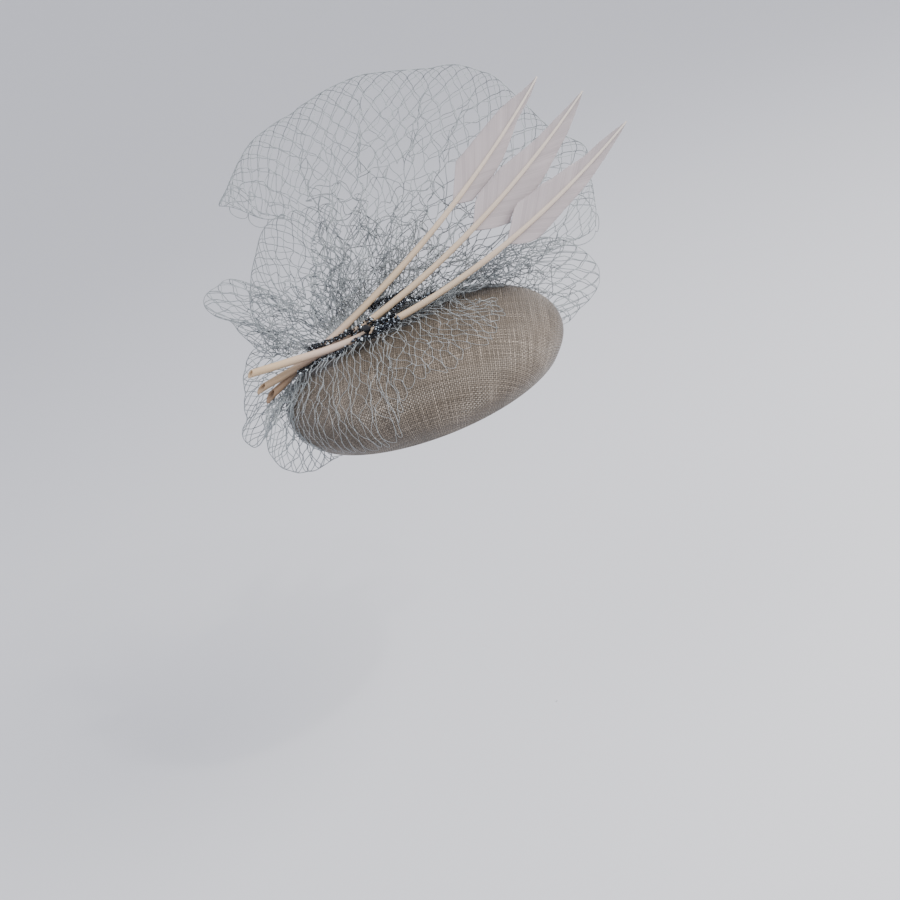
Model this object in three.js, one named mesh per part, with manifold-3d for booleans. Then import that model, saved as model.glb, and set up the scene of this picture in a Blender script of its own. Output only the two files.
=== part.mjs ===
// Veiled percher hat: an oval base of woven straw cloth, three arrow-trimmed quills that cross at one
// seat near its left end, rows of small beads over that seat, and a gathered veil of net in lobes.
// Millimetres. The origin is the centre of the oval opening, +Z runs up out of the crown,
// +X points along the oval towards the quills' tips and -Y is the side that faces the viewer.
import * as THREE from 'three';
import { mergeVertices } from 'three/addons/utils/BufferGeometryUtils.js';
import Module from 'manifold-3d';

const wasm = await Module();
wasm.setup();

// Clearance that touching pieces keep.
const GAP = 0.35;

// How finely curved surfaces are cut into facets.
const FACETS = {
  baseAround: 60, baseUp: 10, baseSide: 3, rodAround: 8, rodAlong: 36, lineSteps: 120,
  vaneAlong: 20, lobeAround: 32, lobeUp: 12, drapeAround: 26, drapeUp: 10, beadAround: 20,
};

// The straw base.
const BASE = {
  halfLength: 86,
  halfWidth: 77.5,
  height: 41,
  wall: 2,
  shoulder: 12, // height of the widest line
  rimTuck: 6, // how far the rim turns in under the widest line
  lip: 3, // flat turned-in edge of the rim
  lipThick: 1.2,
  roundness: 3, // squareness of the side as it turns into the crown
  flatness: 2.2, // flatness of the crown
};

// The comb inside the base, at its +X end.
const COMB = {
  teeth: 12, toothWidth: 1.5, toothTip: 0.9, toothLength: 22, pitch: 3.6,
  spine: 7, thick: 1.6, height: 5, clear: 0.6,
};

// The quills. Each shaft leaves the seat both ways: a straight tail that ends past the base's end,
// and a head whose rise grows towards the tip. At the seat a shaft lies to the side of the middle and
// above the crown by so many shaft diameters.
// The tail's end is cut on a slant, which fades out over a share of the whole shaft.
const SHAFT = { diameter: 4.4, seatFromEnd: 34.4, slant: 7, slantShare: 0.125 };
const QUILLS = [
  { side: 0.5, above: 1.227, yaw: 10.8, tailPitch: 18.9, tipPitch: 38.1, bend: 1.18, head: 199.6, overhang: 8 },
  { side: -0.614, above: 1, yaw: 6.3, tailPitch: 6.9, tipPitch: 34.3, bend: 0.76, head: 210.8, overhang: 10 },
  { side: -2.182, above: 1.682, yaw: 2.9, tailPitch: -5.8, tipPitch: 30, bend: 0.71, head: 217.8, overhang: 9.8 },
];
// Shaft thickness as a share of its diameter, along the share of its whole length from the tail.
const TAPER = [
  { along: 0, thick: 1 },
  { along: 0.35, thick: 0.93 },
  { along: 0.6, thick: 0.74 },
  { along: 0.85, thick: 0.42 },
  { along: 1, thick: 0.2 },
];

// The vanes. Widths above and below the shaft are shares of the vane's widest widths, along the
// share of its length from the tip.
const VANE_THICK = 1;
const VANES = [
  {
    length: 85, above: 14.3, below: 8.6,
    rows: [
      { along: 0, above: 0.05, below: 0.06 }, { along: 0.12, above: 0.23, below: 0.22 },
      { along: 0.28, above: 0.6, below: 0.34 }, { along: 0.42, above: 0.78, below: 0.63 },
      { along: 0.6, above: 0.9, below: 1 }, { along: 0.77, above: 1, below: 0.98 },
      { along: 0.88, above: 0.57, below: 0.86 }, { along: 0.94, above: 0.33, below: 0.32 },
      { along: 1, above: 0.12, below: 0.12 },
    ],
  },
  {
    length: 98, above: 12.1, below: 13.2,
    rows: [
      { along: 0, above: 0.05, below: 0.05 }, { along: 0.14, above: 0.22, below: 0.33 },
      { along: 0.28, above: 0.4, below: 0.57 }, { along: 0.46, above: 0.66, below: 0.83 },
      { along: 0.6, above: 0.93, below: 0.93 }, { along: 0.72, above: 1, below: 0.88 },
      { along: 0.83, above: 0.98, below: 1 }, { along: 0.92, above: 0.48, below: 0.65 },
      { along: 1, above: 0.12, below: 0.12 },
    ],
  },
  {
    length: 93.5, above: 13.9, below: 9.6,
    rows: [
      { along: 0, above: 0.05, below: 0.06 }, { along: 0.15, above: 0.26, below: 0.34 },
      { along: 0.32, above: 0.42, below: 0.58 }, { along: 0.48, above: 0.64, below: 0.74 },
      { along: 0.65, above: 0.88, below: 0.86 }, { along: 0.79, above: 1, below: 0.98 },
      { along: 0.86, above: 0.75, below: 0.96 }, { along: 0.94, above: 0.33, below: 0.6 },
      { along: 1, above: 0.12, below: 0.12 },
    ],
  },
];

// The beads. A row's points lie on the shafts: on which quill, how far along it from the seat, and
// how far round it from its top towards the viewer, in degrees.
const BEAD = { diameter: 3, pitch: 2.4, waist: 0.72, round: 5, clear: 0.7 };
const BEAD_ROWS = [
  {
    name: 'bead_row_upper',
    points: [
      { on: 1, along: -8.5, turn: -80 }, { on: 1, along: -4, turn: -20 }, { on: 1, along: 0, turn: 40 },
      { on: 2, along: 6.7, turn: 17 }, { on: 2, along: 13.8, turn: 38 }, { on: 2, along: 21, turn: 52 },
    ],
  },
  {
    name: 'bead_row_lower',
    points: [
      { on: 2, along: -19, turn: 108 }, { on: 2, along: -11, turn: 126 }, { on: 2, along: -3.4, turn: 112 },
      { on: 3, along: 5.6, turn: 151 }, { on: 3, along: 15, turn: 108 },
    ],
  },
  {
    name: 'bead_row_inner',
    points: [
      { on: 1, along: 35, turn: 180 }, { on: 1, along: 43, turn: 176 },
      { on: 2, along: 50, turn: -62 }, { on: 2, along: 60, turn: -92 },
    ],
  },
  {
    name: 'bead_row_outer',
    points: [
      { on: 2, along: 47, turn: 134 }, { on: 2, along: 56.5, turn: 130 },
      { on: 3, along: 65, turn: -62 }, { on: 3, along: 74, turn: -90 },
    ],
  },
  {
    name: 'bead_bar_front',
    points: [
      { on: 3, along: 22.5, turn: 92 }, { on: 3, along: 29, turn: 108 },
      { on: 3, along: 36, turn: 84 }, { on: 3, along: 48, turn: 80 },
    ],
  },
  {
    name: 'bead_bar_top',
    points: [
      { on: 3, along: 35.5, turn: 20 }, { on: 3, along: 42, turn: 12 }, { on: 3, along: 48, turn: 20 },
    ],
  },
];
const ROUND_BEAD = { on: 3, along: 29, turn: 40 };

// The veil stands upright while the hat is worn tipped forward and rolled to one side, in degrees.
const WORN = { tip: 26.6, roll: 21.7 };
// The lobes, in the order that they are laid: each is cut back from those before it. The middle is
// measured from the crown's top, or from the base's left or right end at its widest line.
// Rays give the reach round the middle as shares of the longest, from the right, anticlockwise.
const LOBES = [
  {
    name: 'veil_gather', from: 'crown', middle: [-42, 2, -0.5], reach: 28, front: 10, back: 10,
    rays: [1, 0.74, 0.3, 0.22, 0.22, 0.26, 0.36, 0.74, 0.6, 0.36, 0.26, 0.24],
  },
  {
    name: 'veil_side', from: 'crown', middle: [-48.8, 37.1, 37.5], reach: 47, front: 11, back: 11,
    rays: [0.51, 0.51, 0.56, 0.66, 0.89, 0.7, 0.6, 0.68, 0.94, 1, 1, 0.72],
  },
  {
    name: 'veil_back', from: 'crown', middle: [29.5, 63.9, 59.4], reach: 114.6, front: 20, back: 30,
    rays: [1, 0.85, 0.76, 0.71, 0.62, 0.63, 0.68, 0.8, 0.94, 0.57, 0.64, 0.76, 0.72, 0.6, 0.52, 0.68],
  },
  {
    name: 'veil_ear', from: 'crown', middle: [-92.6, 38.6, 40.4], reach: 21.8, front: 7, back: 7,
    rays: [0.7, 0.6, 0.62, 0.61, 0.62, 0.65, 0.75, 0.53, 0.46, 0.53, 1, 0.9],
  },
  {
    name: 'veil_left', from: 'left', middle: [-5.8, 12.7, 22.1], reach: 34.4, front: 7, back: 7,
    rays: [0.4, 0.47, 0.73, 0.8, 0.58, 0.39, 0.33, 0.39, 0.74, 1, 0.66, 0.44],
  },
  {
    name: 'veil_right', from: 'right', middle: [19.4, 31.8, 6.8], reach: 39.7, front: 12, back: 12,
    rays: [0.38, 0.4, 0.42, 0.48, 0.62, 1, 1.05, 0.6, 0.4, 0.62, 0.42, 0.4],
  },
  {
    name: 'veil_hem', from: 'left', middle: [1.2, -33.7, -7.8], reach: 16.2, front: 5, back: 5,
    rays: [0.7, 0.75, 0.75, 0.6, 0.6, 0.99, 1, 0.72, 0.64, 0.58, 0.63, 0.9],
  },
];

// The front of the veil lies on the crown. Each row gives a direction round the base and the shares
// of the way from the crown's top (0) to the widest line (1) between which the net lies.
// shareEachMm turns a clearance into the share of the way that the sheet's edge is grown by.
const DRAPE = { lift: 0.8, thick: 1.2, shareEachMm: 0.03 };
const DRAPE_ROWS = [
  { turn: 184, start: 0.46, end: 0.62 }, { turn: 190, start: 0.26, end: 0.78 },
  { turn: 200, start: 0.12, end: 0.93 }, { turn: 215, start: 0.06, end: 0.97 },
  { turn: 235, start: 0.05, end: 0.97 }, { turn: 252, start: 0.05, end: 0.97 },
  { turn: 268, start: 0.05, end: 0.92 }, { turn: 285, start: 0.05, end: 0.74 },
  { turn: 305, start: 0.05, end: 0.48 }, { turn: 330, start: 0.06, end: 0.38 },
  { turn: 345, start: 0.12, end: 0.32 },
];

const STRAW = new THREE.MeshStandardMaterial({ color: 0x968c80, roughness: 0.5, metalness: 0.1 });
const QUILL = new THREE.MeshStandardMaterial({ color: 0xcdbba5, roughness: 0.45, metalness: 0 });
const FEATHER = new THREE.MeshStandardMaterial({ color: 0xb9b2b8, roughness: 0.8, metalness: 0 });
const BEADS = new THREE.MeshStandardMaterial({ color: 0x1c1f24, roughness: 0.15, metalness: 0.3 });
const NET = new THREE.MeshStandardMaterial({ color: 0x8c99a3, roughness: 0.8, metalness: 0 });
const HORN = new THREE.MeshStandardMaterial({ color: 0x6a5f52, roughness: 0.35, metalness: 0 });

const radians = THREE.MathUtils.degToRad;
const vec = (x, y, z) => new THREE.Vector3(x, y, z);

// A value between the rows of a table, by straight lines.
function between(rows, key, x, column) {
  const next = rows.findIndex((row) => row[key] >= x);
  if (next <= 0) return next < 0 ? rows[rows.length - 1][column] : rows[0][column];
  const low = rows[next - 1];
  const high = rows[next];
  return THREE.MathUtils.lerp(low[column], high[column], (x - low[key]) / (high[key] - low[key]));
}

// A three.js geometry as one closed mesh, each vertex moved to where place() puts it.
function shaped(geometry, place = (point) => point) {
  geometry.deleteAttribute('normal');
  geometry.deleteAttribute('uv');
  const closed = mergeVertices(geometry, 1e-5);
  const at = closed.getAttribute('position');
  for (let i = 0; i < at.count; i += 1) {
    const point = place(vec(at.getX(i), at.getY(i), at.getZ(i)));
    at.setXYZ(i, point.x, point.y, point.z);
  }
  return closed;
}

function solid(geometry) {
  const vertProperties = new Float32Array(geometry.getAttribute('position').array);
  const triVerts = new Uint32Array(geometry.index.array);
  return new wasm.Manifold(new wasm.Mesh({ numProp: 3, vertProperties, triVerts }));
}

function fromSolid(body) {
  const mesh = body.getMesh();
  const geometry = new THREE.BufferGeometry();
  geometry.setAttribute('position', new THREE.BufferAttribute(new Float32Array(mesh.vertProperties), 3));
  geometry.setIndex(new THREE.BufferAttribute(new Uint32Array(mesh.triVerts), 1));
  return geometry;
}

function piece(name, geometry, material) {
  const mesh = new THREE.Mesh(geometry, material);
  mesh.name = name;
  return mesh;
}

// The base's outer surface, shrunk by inset: how far out (as a share of the oval) and how high it is
// at angle up, which runs from 0 at the widest line to 90 degrees at the crown's top.
function crownPoint(up, inset) {
  const reach = Math.cos(up) ** (2 / BASE.roundness);
  const rise = (BASE.height - inset - BASE.shoulder) * Math.sin(up) ** (2 / BASE.flatness);
  return { reach, height: BASE.shoulder + rise };
}

// The side under the widest line, from the widest line (0) to the rim (1).
function sidePoint(down) {
  const tuck = BASE.rimTuck / BASE.halfLength;
  return { reach: 1 - tuck * (1 - Math.cos(down * Math.PI / 2)), height: BASE.shoulder * (1 - down) };
}

// A closed lathe profile turned round the oval, given from its top. Its points are {reach, height, inset}.
function oval(profile) {
  const rows = [...profile].reverse();
  const points = rows.map((row, i) => new THREE.Vector2(i === 0 || i === rows.length - 1 ? 0 : 1 + i, i));
  return shaped(new THREE.LatheGeometry(points, FACETS.baseAround), (p) => {
    const row = rows[Math.round(p.y)];
    const turn = Math.atan2(p.z, p.x);
    const onAxis = Math.hypot(p.x, p.z) < 0.5;
    const length = onAxis ? 0 : (BASE.halfLength - row.inset) * row.reach;
    const width = onAxis ? 0 : (BASE.halfWidth - row.inset) * row.reach;
    return vec(length * Math.cos(turn), -width * Math.sin(turn), row.height);
  });
}

function crownProfile(inset) {
  const rows = [];
  for (let i = 0; i < FACETS.baseUp; i += 1) {
    const { reach, height } = crownPoint((Math.PI / 2) * (1 - i / FACETS.baseUp), inset);
    rows.push({ reach: i === 0 ? 0 : reach, height, inset });
  }
  return rows;
}

function sideProfile(inset, bottom) {
  const rows = [];
  for (let i = 0; i <= FACETS.baseSide; i += 1) {
    const { reach, height } = sidePoint(i / FACETS.baseSide);
    rows.push({ reach, height: Math.max(height, bottom), inset });
  }
  return rows;
}

function strawBase() {
  const outer = [...crownProfile(0), ...sideProfile(0, 0)];
  const inner = [...crownProfile(BASE.wall), ...sideProfile(BASE.wall, BASE.wall)].reverse();
  const rim = sidePoint(1);
  const lip = [
    { reach: rim.reach, height: 0, inset: BASE.wall + BASE.lip },
    { reach: rim.reach, height: BASE.lipThick, inset: BASE.wall + BASE.lip },
  ];
  return piece('straw_base', oval([...outer, ...lip, ...inner]), STRAW);
}

// The base's outside with its opening filled, grown by a clearance: what the veil lies against.
function baseEnvelope(clearance) {
  const rows = [...crownProfile(-clearance), ...sideProfile(-clearance, 0)];
  const rim = sidePoint(1);
  rows.push({ reach: rim.reach, height: -clearance, inset: -clearance });
  rows.push({ reach: 0, height: -clearance, inset: 0 });
  return solid(oval(rows));
}

// A comb's outline from above, its spine bent to follow the wall.
function hairComb() {
  const span = COMB.teeth * COMB.pitch;
  const edge = (y) => {
    const { reach } = sidePoint(1 - COMB.height / BASE.shoulder);
    const inside = BASE.wall + COMB.clear;
    const share = y / ((BASE.halfWidth - inside) * reach);
    return (BASE.halfLength - inside) * reach * Math.sqrt(1 - share * share);
  };
  const outline = new THREE.Shape();
  outline.moveTo(edge(-span / 2), -span / 2);
  for (let i = 0; i < COMB.teeth; i += 1) {
    const y = (i + 1) * COMB.pitch - span / 2;
    outline.lineTo(edge(y), y);
  }
  for (let i = COMB.teeth - 1; i >= 0; i -= 1) {
    const middle = (i + 0.5) * COMB.pitch - span / 2;
    const root = edge(middle) - COMB.spine;
    const half = COMB.toothWidth / 2;
    outline.lineTo(root, i === COMB.teeth - 1 ? span / 2 : middle + COMB.pitch / 2);
    outline.lineTo(root, middle + half);
    outline.lineTo(root - COMB.toothLength, middle + COMB.toothTip / 2);
    outline.lineTo(root - COMB.toothLength, middle - COMB.toothTip / 2);
    outline.lineTo(root, middle - half);
  }
  outline.lineTo(edge(-span / 2 + COMB.pitch / 2) - COMB.spine, -span / 2);
  const plate = new THREE.ExtrudeGeometry(outline, { depth: COMB.thick, bevelEnabled: false });
  const comb = piece('hair_comb', shaped(plate), HORN);
  comb.position.z = COMB.height;
  return comb;
}

// A quill's centreline as a function of the distance from the seat, negative along the tail.
function quillLine(quill) {
  const seat = vec(
    SHAFT.seatFromEnd - BASE.halfLength,
    quill.side * SHAFT.diameter,
    BASE.height + quill.above * SHAFT.diameter,
  );
  const yaw = radians(quill.yaw);
  const heading = (pitch) => vec(
    Math.cos(yaw) * Math.cos(pitch), Math.sin(yaw) * Math.cos(pitch), Math.sin(pitch),
  );
  const tailPitch = radians(quill.tailPitch);
  const pitchAt = (s) => {
    const share = Math.max(0, s / quill.head) ** quill.bend;
    return tailPitch + (radians(quill.tipPitch) - tailPitch) * share;
  };
  const steps = FACETS.lineSteps;
  const stations = [seat.clone()];
  for (let i = 0; i < steps; i += 1) {
    const middle = ((i + 0.5) * quill.head) / steps;
    stations.push(stations[i].clone().addScaledVector(heading(pitchAt(middle)), quill.head / steps));
  }
  const tail = (SHAFT.seatFromEnd + quill.overhang) / (Math.cos(yaw) * Math.cos(tailPitch));
  const at = (s) => {
    if (s <= 0) return seat.clone().addScaledVector(heading(tailPitch), s);
    const place = Math.min((s / quill.head) * steps, steps - 1e-9);
    const low = Math.floor(place);
    return stations[low].clone().lerp(stations[low + 1], place - low);
  };
  const along = (s) => heading(pitchAt(s));
  const thick = (s) => SHAFT.diameter * between(TAPER, 'along', (s + tail) / (tail + quill.head), 'thick');
  const front = vec(Math.sin(yaw), -Math.cos(yaw), 0);
  const up = (s) => front.clone().cross(along(s));
  return { at, along, thick, front, up, tail, head: quill.head };
}

// A point beside a shaft: off its surface by a distance, turned from its top towards the viewer.
function besideShaft(line, s, turn, off) {
  const reach = line.thick(s) / 2 + off;
  return line.at(s)
    .addScaledVector(line.up(s), reach * Math.cos(radians(turn)))
    .addScaledVector(line.front, reach * Math.sin(radians(turn)));
}

function shaftGeometry(line, grown) {
  const rod = new THREE.CylinderGeometry(1, 1, 1, FACETS.rodAround, FACETS.rodAlong);
  return shaped(rod, (p) => {
    const share = p.y + 0.5;
    const nearTail = Math.max(0, 1 - share / SHAFT.slantShare);
    const slant = (SHAFT.slant / 2) * (1 - p.x) * nearTail;
    const s = -line.tail + share * (line.tail + line.head) + slant;
    const radius = line.thick(s) / 2 + grown;
    return line.at(s).addScaledVector(line.front, radius * p.x).addScaledVector(line.up(s), radius * p.z);
  });
}

// A vane is a thin sheet behind its shaft that faces the viewer.
function vaneSheet(name, line, vane) {
  const viewer = vec(0, -Math.cos(radians(WORN.tip)), Math.sin(radians(WORN.tip)));
  const sheet = new THREE.BoxGeometry(1, 1, 1, 2, 1, FACETS.vaneAlong);
  return piece(name, shaped(sheet, (p) => {
    const share = 0.5 - p.z;
    const s = line.head - share * vane.length;
    const along = line.along(s);
    const face = viewer.clone().addScaledVector(along, -viewer.dot(along)).normalize();
    const across = face.clone().cross(along);
    const side = p.x > 0 ? vane.above * between(vane.rows, 'along', share, 'above')
      : vane.below * between(vane.rows, 'along', share, 'below');
    const behind = line.thick(s) / 2 + GAP + VANE_THICK * (0.5 - p.y);
    return line.at(s).addScaledVector(across, p.x * 2 * side).addScaledVector(face, -behind);
  }), FEATHER);
}

function beadPoint(spot, lines, diameter) {
  return besideShaft(lines[spot.on - 1], spot.along, spot.turn, diameter / 2 + BEAD.clear);
}

// A row of small threaded beads as one solid, swelling at each bead.
function beadRowGeometry(row, lines, grown) {
  const route = new THREE.CatmullRomCurve3(row.points.map((spot) => beadPoint(spot, lines, BEAD.diameter)));
  const length = route.getLength();
  const beads = Math.round(length / BEAD.pitch);
  const rod = new THREE.CylinderGeometry(1, 1, 1, FACETS.rodAround, beads * 2);
  return shaped(rod, (p) => {
    const share = p.y + 0.5;
    const along = route.getTangentAt(share);
    const side = vec(0, 0, 1).cross(along).normalize();
    const up = along.clone().cross(side);
    const swell = Math.round(share * beads * 2) % 2 === 1 ? 1 : BEAD.waist;
    const radius = (BEAD.diameter / 2) * swell + grown;
    return route.getPointAt(share).addScaledVector(up, radius * p.x).addScaledVector(side, radius * p.z);
  });
}

function roundBead(lines) {
  const ball = new THREE.SphereGeometry(BEAD.round / 2, FACETS.beadAround, FACETS.beadAround / 2);
  const bead = piece('round_bead', shaped(ball), BEADS);
  bead.position.copy(beadPoint(ROUND_BEAD, lines, BEAD.round));
  return bead;
}

// The reach of a lobe at an angle, on a smooth curve through its evenly spaced rays.
function rayReach(rays, angle) {
  const place = ((angle / (2 * Math.PI)) * rays.length + rays.length) % rays.length;
  const low = Math.floor(place);
  const [a, b, c, d] = [-1, 0, 1, 2].map((step) => rays[(low + step + rays.length) % rays.length]);
  const curve = new THREE.SplineCurve([a, b, c, d].map((reach, i) => new THREE.Vector2(i, reach)));
  return curve.getPoint((1 + place - low) / 3).y;
}

// A lobe of net as a puffed solid of its outer form, standing upright as worn and grown by a clearance.
function lobeSolid(lobe, clearance) {
  const tip = radians(WORN.tip);
  const roll = radians(WORN.roll);
  const right = vec(Math.cos(roll), -Math.sin(roll) * Math.sin(tip), -Math.sin(roll) * Math.cos(tip));
  const up = vec(Math.sin(roll), Math.cos(roll) * Math.sin(tip), Math.cos(roll) * Math.cos(tip));
  const away = vec(0, Math.cos(tip), -Math.sin(tip));
  const anchors = {
    crown: vec(0, 0, BASE.height),
    left: vec(-BASE.halfLength, 0, BASE.shoulder),
    right: vec(BASE.halfLength, 0, BASE.shoulder),
  };
  const middle = anchors[lobe.from].clone().add(vec(...lobe.middle));
  const ball = new THREE.SphereGeometry(1, FACETS.lobeAround, FACETS.lobeUp);
  return solid(shaped(ball, (p) => {
    const angle = Math.atan2(-p.z, p.x);
    const flat = Math.hypot(p.x, p.z);
    const reach = flat < 1e-6 ? 0 : (lobe.reach * rayReach(lobe.rays, angle) + clearance) * flat;
    const depth = p.y < 0 ? lobe.back : lobe.front;
    return middle.clone()
      .addScaledVector(right, reach * Math.cos(angle))
      .addScaledVector(up, reach * Math.sin(angle))
      .addScaledVector(away, -p.y * (depth + clearance));
  }));
}

// The net that lies over the front of the crown, a thin sheet held just off the straw.
function drapeGeometry(grown) {
  const first = DRAPE_ROWS[0].turn;
  const last = DRAPE_ROWS[DRAPE_ROWS.length - 1].turn;
  const sheet = new THREE.BoxGeometry(1, 1, 1, FACETS.drapeAround, 1, FACETS.drapeUp);
  return shaped(sheet, (p) => {
    const turn = THREE.MathUtils.lerp(first, last, p.x + 0.5);
    const start = between(DRAPE_ROWS, 'turn', turn, 'start');
    const end = between(DRAPE_ROWS, 'turn', turn, 'end');
    const way = THREE.MathUtils.lerp(start, end, 0.5 + p.z) + 2 * p.z * grown * DRAPE.shareEachMm;
    const off = DRAPE.lift + DRAPE.thick / 2 + (DRAPE.thick + 2 * grown) * p.y;
    const { reach, height } = crownPoint((1 - way) * Math.PI / 2, -off);
    const angle = radians(turn + 2 * p.x * grown);
    const length = (BASE.halfLength + off) * reach;
    const width = (BASE.halfWidth + off) * reach;
    return vec(length * Math.cos(angle), width * Math.sin(angle), height);
  });
}

// The lobes, each cut back from the base, the shafts, the beads, the drape and the lobes before it.
function veilLobes(lines) {
  let taken = baseEnvelope(GAP).add(solid(drapeGeometry(GAP)));
  lines.forEach((line) => {
    taken = taken.add(solid(shaftGeometry(line, GAP)));
  });
  BEAD_ROWS.forEach((row) => {
    taken = taken.add(solid(beadRowGeometry(row, lines, GAP)));
  });
  return LOBES.map((lobe) => {
    const body = lobeSolid(lobe, 0).subtract(taken);
    taken = taken.add(lobeSolid(lobe, GAP));
    const whole = body.decompose().sort((a, b) => b.volume() - a.volume())[0];
    return piece(lobe.name, fromSolid(whole), NET);
  });
}

const lines = QUILLS.map(quillLine);
const hat = new THREE.Group();
hat.add(strawBase(), hairComb());
lines.forEach((line, i) => {
  hat.add(piece(`quill_${i + 1}`, shaftGeometry(line, 0), QUILL), vaneSheet(`vane_${i + 1}`, line, VANES[i]));
});
BEAD_ROWS.forEach((row) => hat.add(piece(row.name, beadRowGeometry(row, lines, 0), BEADS)));
hat.add(roundBead(lines), piece('veil_front', drapeGeometry(0), NET), ...veilLobes(lines));

export default hat;
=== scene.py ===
"""A veiled percher hat: woven straw base, three arrow-trimmed quills, rows of small beads and a
gathered veil of open net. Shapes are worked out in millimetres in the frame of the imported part."""
import math
import bpy
import numpy as np
from mathutils import Matrix, Vector


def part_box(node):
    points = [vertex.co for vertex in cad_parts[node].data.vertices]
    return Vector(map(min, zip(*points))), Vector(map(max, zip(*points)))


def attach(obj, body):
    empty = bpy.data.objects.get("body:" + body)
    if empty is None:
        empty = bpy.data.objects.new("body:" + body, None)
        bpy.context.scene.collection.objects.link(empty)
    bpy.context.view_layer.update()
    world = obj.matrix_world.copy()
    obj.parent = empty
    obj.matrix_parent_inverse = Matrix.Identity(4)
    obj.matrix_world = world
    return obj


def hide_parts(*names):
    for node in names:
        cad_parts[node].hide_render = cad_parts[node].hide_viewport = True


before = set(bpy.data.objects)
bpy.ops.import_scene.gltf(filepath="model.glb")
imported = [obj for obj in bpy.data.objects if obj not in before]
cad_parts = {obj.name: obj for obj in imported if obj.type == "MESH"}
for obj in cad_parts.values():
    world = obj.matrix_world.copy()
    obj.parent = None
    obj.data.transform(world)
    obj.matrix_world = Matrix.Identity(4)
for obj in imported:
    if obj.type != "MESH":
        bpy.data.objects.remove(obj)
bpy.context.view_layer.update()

METRE = 0.001  # one millimetre, in metres

# The camera and its directions

# The hat is worn tipped forward and rolled, so the viewer's directions are slanted in its frame.
TIP, ROLL = math.radians(26.64), math.radians(21.7)
REACH = 675.0  # from the eye to the rim's centre, along the view
LENS, SENSOR = 45.0, 36.0
AIM = (-11.1, 39.1)  # where the rim's centre is seen, right of and above the axis
RIGHT = np.array([math.cos(ROLL), -math.sin(ROLL) * math.sin(TIP), -math.sin(ROLL) * math.cos(TIP)])
UP = np.array([math.sin(ROLL), math.cos(ROLL) * math.sin(TIP), math.cos(ROLL) * math.cos(TIP)])
FORWARD = np.array([0.0, math.cos(TIP), -math.sin(TIP)])
EYE = -(AIM[0] * RIGHT + AIM[1] * UP + REACH * FORWARD)


def make_camera():
    data = bpy.data.cameras.new("camera")
    data.lens, data.sensor_width = LENS, SENSOR
    data.clip_start, data.clip_end = 0.05, 50
    camera = bpy.data.objects.new("camera", data)
    camera.matrix_world = Matrix((
        (RIGHT[0], UP[0], -FORWARD[0], EYE[0] * METRE),
        (RIGHT[1], UP[1], -FORWARD[1], EYE[1] * METRE),
        (RIGHT[2], UP[2], -FORWARD[2], EYE[2] * METRE),
        (0, 0, 0, 1),
    ))
    bpy.context.scene.collection.objects.link(camera)
    bpy.context.scene.camera = camera


make_camera()


def seen(x, y, away):
    """The point that the camera sees x right of and y above its axis, measured at the rim's distance,
    when it lies away millimetres beyond that distance."""
    x, y, away = (np.asarray(v, float)[..., None] for v in (x, y, away))
    return EYE + (REACH * FORWARD + x * RIGHT + y * UP) * (REACH + away) / REACH


# Meshes

def add_mesh(name, points, faces, material, replaces, uvs=None, tint=None, smooth=True, crease=0):
    """A piece from points in millimetres. uvs is (name, one pair for each point)."""
    mesh = bpy.data.meshes.new(name)
    mesh.from_pydata((np.asarray(points) * METRE).tolist(), [], [list(map(int, f)) for f in faces])
    mesh.update()
    if smooth:
        mesh.polygons.foreach_set("use_smooth", [True] * len(mesh.polygons))
    if crease:
        mesh.set_sharp_from_angle(angle=math.radians(crease))
    if uvs is not None:
        layer = mesh.uv_layers.new(name=uvs[0])
        corner = np.empty(len(mesh.loops), np.int64)
        mesh.loops.foreach_get("vertex_index", corner)
        layer.data.foreach_set("uv", np.asarray(uvs[1], np.float32)[corner].ravel())
    if tint is not None:
        values = mesh.attributes.new("tint", "FLOAT", "POINT")
        values.data.foreach_set("value", np.asarray(tint, np.float32))
    mesh.materials.append(material)
    piece = bpy.data.objects.new(name, mesh)
    bpy.context.scene.collection.objects.link(piece)
    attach(piece, "root")
    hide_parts(*replaces)


def grid_faces(rows, columns, wrap=False, flip=False):
    """Quads between the rows and columns of a grid of points. wrap joins the last column to the first."""
    r = np.arange(rows - 1)[:, None]
    c = np.arange(columns if wrap else columns - 1)[None, :]
    d = (c + 1) % columns
    quads = np.stack([r * columns + c, r * columns + d, (r + 1) * columns + d, (r + 1) * columns + c], -1)
    quads = quads.reshape(-1, 4)
    return quads[:, ::-1] if flip else quads


def unit(v):
    return v / np.maximum(np.linalg.norm(v, axis=-1, keepdims=True), 1e-9)


def turns(count):
    """Angles spread evenly round a circle."""
    return np.arange(count) * 2 * math.pi / count


def polar(reach, turn):
    return np.stack([reach * np.cos(turn), reach * np.sin(turn)], -1)


def length_of(line):
    return np.linalg.norm(np.diff(line, axis=0), axis=1).sum()


def tube(points, radius, sides):
    """Points and faces of an open tube along a line of points, its rings turned as little as possible."""
    along = unit(np.gradient(points, axis=0))
    last = np.array([0.0, 0.0, 1.0]) if abs(along[0][2]) < 0.9 else np.array([1.0, 0.0, 0.0])
    side = np.empty_like(points)
    for i in range(len(points)):
        last = unit(last - along[i] * last.dot(along[i]))
        side[i] = last
    other = np.cross(along, side)
    turn = turns(sides)
    ring = side[:, None] * np.cos(turn)[None, :, None] + other[:, None] * np.sin(turn)[None, :, None]
    return (points[:, None] + ring * radius).reshape(-1, 3), list(grid_faces(len(points), sides, wrap=True))


def joined(parts):
    """Several (points, faces) as one."""
    points, faces, start = [], [], 0
    for p, f in parts:
        points.append(p)
        faces += [np.asarray(x) + start for x in f]
        start += len(p)
    return np.concatenate(points), faces


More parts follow.
